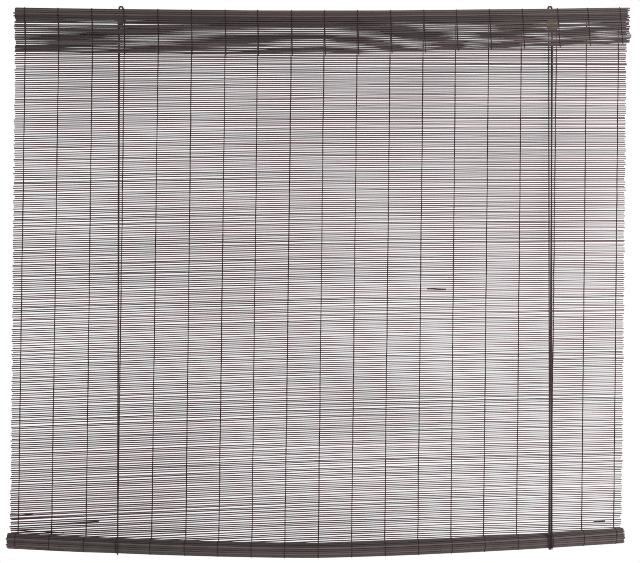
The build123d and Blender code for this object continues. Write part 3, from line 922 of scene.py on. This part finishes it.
FLAP_EXTRA = 0.003
flap_first = 0.5 / VALANCE_ROWS
flap_last = 1 - flap_first
grow(
    "woven_flap_slats", slats,
    down_run(FRONT_Y, flap_first * VALANCE_DROP, flap_last * VALANCE_DROP),
    {
        **SLAT, "Rows": VALANCE_ROWS, "First Share": flap_first, "Last Share": flap_last,
        "Face": VALANCE_FACE, "Width": WIDTH + FLAP_EXTRA, "Lift": VALANCE_LIFT_RIGHT, "Lean": 0.005,
        "Stagger": 0.004, "Slope Error": 0.0012, "Seed": 37, "Dense Left": 0.4,
    },
    "headrail_body", "stained_bamboo", ["valance_slats"],
)
grow(
    "woven_top_slats", slats,
    [[(0, middle_y("top_slats") + side * SLAT_PITCH / 2, MAT_TOP + OVER_RAIL) for side in (1, -1)]],
    {**SLAT, "Rows": 2, "First Share": 0.0, "Last Share": 0.0, "Wave": 0.0, "Slope Error": 0.0, "Seed": 41},
    "headrail_body", "stained_bamboo", ["top_slats"],
)


def spiral(x, height):
    """The mat's middle layer wound forward on itself about its axis at x."""
    line = []
    for step in range(SPIRAL_STEPS * ROLL_TURNS + 1):
        angle = step * 2 * pi / SPIRAL_STEPS
        radius = TURN_R - TURN_STEP * step / SPIRAL_STEPS
        line.append((x, ROLL_Y + radius * cos(angle), height - radius * sin(angle)))
    return line


mean_radii = [TURN_R - TURN_STEP * (turn + 0.5) for turn in range(ROLL_TURNS)]
grow(
    "wound_slats", slats,
    [spiral(0, ROLL_LEVEL)],
    {
        **SLAT, "Rows": int(2 * pi * sum(mean_radii) / SLAT_PITCH), "First Share": 1.0, "Last Share": 1.0,
        "Face": ROLL_FACE, "Sag Head": ROLL_SAG, "Sag Foot": ROLL_SAG, "Tilt": ROLL_RISE_RIGHT,
        "Lean": LEAN, "Slope Error": 0.0003, "Wave": 0.0006, "Seed": 53,
    },
    "roll_body", "stained_bamboo", ["roll"],
)

# Millimetres that each string strays from its even place, at the head and at the foot
HEAD_STRAY = (0, 1, 3, 0, 2, 3, 5, 3, 5, 4, 4, 4, 4, 2, 2, 1, 7, -2, -5)
FOOT_STRAY = (-5, -4, 0, -4, -1, 2, 2, 2, 2, 3, 4, 4, 4, 4, 3, 3, 7, 0, -3)
FLAP_STRING_SHIFT = 0.003
FLAP_STRING_FLARE = 0.006
FLAP_TAIL = 0.004

hanging_runs = []
folded_runs = []
wound_runs = []
for number in range(STRING_COUNT):
    x = string_x(number)
    right = max(0.0, x / HALF)
    above = x + HEAD_STRAY[number] / 1000
    below = x + FOOT_STRAY[number] / 1000
    flap_x = above + FLAP_STRING_SHIFT + FLAP_STRING_FLARE * right
    flap_drop = VALANCE_DROP - VALANCE_LIFT_RIGHT * right
    head = rail_top(x) - RAIL_H
    top = rail_top(x) + OVER_RAIL
    hanging_runs.append(
        [(CENTRE_X + above, REAR_Y, head), (CENTRE_X + LEAN + below, REAR_Y, roll_axis(x))]
    )
    folded_runs.append(
        [
            (CENTRE_X + above, REAR_Y, head),
            (CENTRE_X + above, REAR_Y, top),
            (CENTRE_X + above, FRONT_Y, top),
            (CENTRE_X + flap_x, FRONT_Y, rail_top(x) - flap_drop - FLAP_TAIL),
        ]
    )
    wound_runs.append(spiral(CENTRE_X + LEAN + below, roll_axis(x)))

hanging_yarns = grow(
    "hanging_yarns", yarns, hanging_runs, YARN, "headrail_body", "warp_yarn",
    [f"warp_string_{number + 1:02d}" for number in range(STRING_COUNT)],
)
grow(
    "folded_yarns", yarns, folded_runs, EVEN_YARN, "headrail_body", "warp_yarn", ["valance_strings"]
)
grow("wound_yarns", yarns, wound_runs, EVEN_YARN, "roll_body", "warp_yarn", [])

# Slats that have slipped in the weave: the two ends of each in pixels of the photograph

SLIPPED = [
    ((11, 526.8), (99, 521.2)),
    ((11, 513.6), (33, 514.2)),
    ((155, 531.4), (186, 530.8)),
    ((13, 530.2), (64, 532.6)),
    ((593.5, 521.4), (605, 520.8)),
    ((427, 288.8), (446, 289.3)),
]
SLIPPED_OUT = 1.15


def seen_at(px, py, y):
    """The place seen at a pixel of the photograph, at depth y."""
    return ((px - ORIGIN_PX[0]) * PIXEL, y, -(py - ORIGIN_PX[1]) * PIXEL)


slipped_y = REAR_Y - SLIPPED_OUT * SLAT_T
slipped_slats = grow(
    "slipped_slats", bars,
    [[seen_at(*start, slipped_y), seen_at(*end, slipped_y)] for start, end in SLIPPED],
    {"Wide": SLAT_FACE, "Deep": SLAT_T}, "headrail_body", "stained_bamboo", [],
)

for piece in (hanging_slats, hanging_yarns, slipped_slats):
    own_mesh(piece)

# Staples that hold the mat to the headrail, at every second string

STAPLE_EVERY = 2
STAPLE_CROWN = 0.010
STAPLE_WIRE = 0.0008
STAPLE_LEG = 0.006
STAPLE_BELOW_TOP = 0.015
crown_y = REAR_Y + MAT_T / 2 + STRING_T
leg_y = crown_y - STAPLE_LEG
staple_runs = []
for number in range(0, STRING_COUNT, STAPLE_EVERY):
    x = string_x(number)
    z = rail_top(x) - STAPLE_BELOW_TOP
    left = CENTRE_X + x - STAPLE_CROWN / 2
    right = CENTRE_X + x + STAPLE_CROWN / 2
    staple_runs.append([(left, leg_y, z), (left, crown_y, z), (right, crown_y, z), (right, leg_y, z)])
grow(
    "mat_staples", bars, staple_runs, {"Wide": STAPLE_WIRE, "Deep": STAPLE_WIRE},
    "headrail_body", "bright_steel", [],
)

# Screw heads on the hangers and under the pulley's ears

SCREW_R = 0.0023
SCREW_RISE = 0.0014
SCREW_SIDES = 16
SCREW_PROFILE = [(1.0, 0.0), (1.0, 0.45), (0.82, 0.85), (0.45, 1.0), (0.38, 0.45)]
HANGER_SCREW_UP = 0.007
HANGER_PLATE = 0.0015
EAR_SCREW_X = 0.0127
EAR_PLATE = 0.0012


def screw_head(name, seat, out):
    """Pan head with a round socket, seated at seat and pointing along out."""
    axis = Vector(out)
    side = axis.orthogonal().normalized()
    vertices = []
    for reach, rise in SCREW_PROFILE:
        centre = Vector(seat) + rise * SCREW_RISE * axis
        vertices += ring_points(centre, reach * SCREW_R, side, axis.cross(side), SCREW_SIDES)
    mesh = bpy.data.meshes.new(name)
    mesh.from_pydata(vertices, [], ring_faces(len(SCREW_PROFILE), SCREW_SIDES))
    mesh.materials.append(finishes["bright_steel"])
    head = new_object(name, mesh)
    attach(head, "headrail_body")


plate_y = REAR_Y + SLAT_T / 2 + HANGER_PLATE
for node in ("hanger_left", "hanger_right"):
    low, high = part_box(node)
    seat = ((low[0] + high[0]) / 2, plate_y, low[2] + HANGER_SCREW_UP)
    screw_head(node + "_screw", seat, (0, 1, 0))
low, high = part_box("left_pulley_fork")
for name, side in (("ear_screw_left", -1), ("ear_screw_right", 1)):
    x = (low[0] + high[0]) / 2 + side * EAR_SCREW_X
    screw_head(name, (x, middle_y("left_pulley_fork"), high[2] - EAR_PLATE), (0, 0, -1))

# CAD pieces keep their shape and take their finishes

for part in frame["record"]["subparts"]:
    node = frame["nodes"][part["node"]]
    node.data.materials.clear()
    node.data.materials.append(finishes[part["material_slot"]])

# Studio: a pale floor below the blind, soft light all round and one lamp at the right

FLOOR_Z = -2.0
FLOOR_HALF = (3.0, 1.2)
LAMP_PLACE = (1.75, -1.15, -0.7)
LAMP_TARGET = (0.6, 0, -0.75)
LAMP_SIZE = 0.9
LAMP_POWER = 44
floor_mesh = bpy.data.meshes.new("studio_floor")
floor_mesh.from_pydata(
    [(x * FLOOR_HALF[0], y * FLOOR_HALF[1], FLOOR_Z) for x, y in ((-1, -1), (1, -1), (1, 1), (-1, 1))],
    [],
    [(0, 1, 2, 3)],
)
floor = new_object("studio_floor", floor_mesh)
floor.data.materials.append(shader("pale_floor", pale_floor, specular=0.2))


def soft_light(name, place, target, size, power):
    data = bpy.data.lights.new(name, "AREA")
    data.size = size
    data.energy = power
    lamp = new_object(name, data)
    lamp.location = place
    lamp.rotation_euler = (Vector(target) - Vector(place)).to_track_quat("-Z", "Y").to_euler()


soft_light("key_light", LAMP_PLACE, LAMP_TARGET, LAMP_SIZE, LAMP_POWER)

world = bpy.data.worlds.new("studio_light")
world.use_nodes = True
world.node_tree.nodes.clear()
sky = Tree(world.node_tree)
light = sky.add("ShaderNodeBackground", None, {"Color": (1, 1, 1, 1), "Strength": 1.0})
sky.add("ShaderNodeOutputWorld", None, {"Surface": light})
bpy.context.scene.world = world
bpy.context.scene.view_settings.view_transform = "Standard"
bpy.context.scene.cycles.filter_width = 1.0
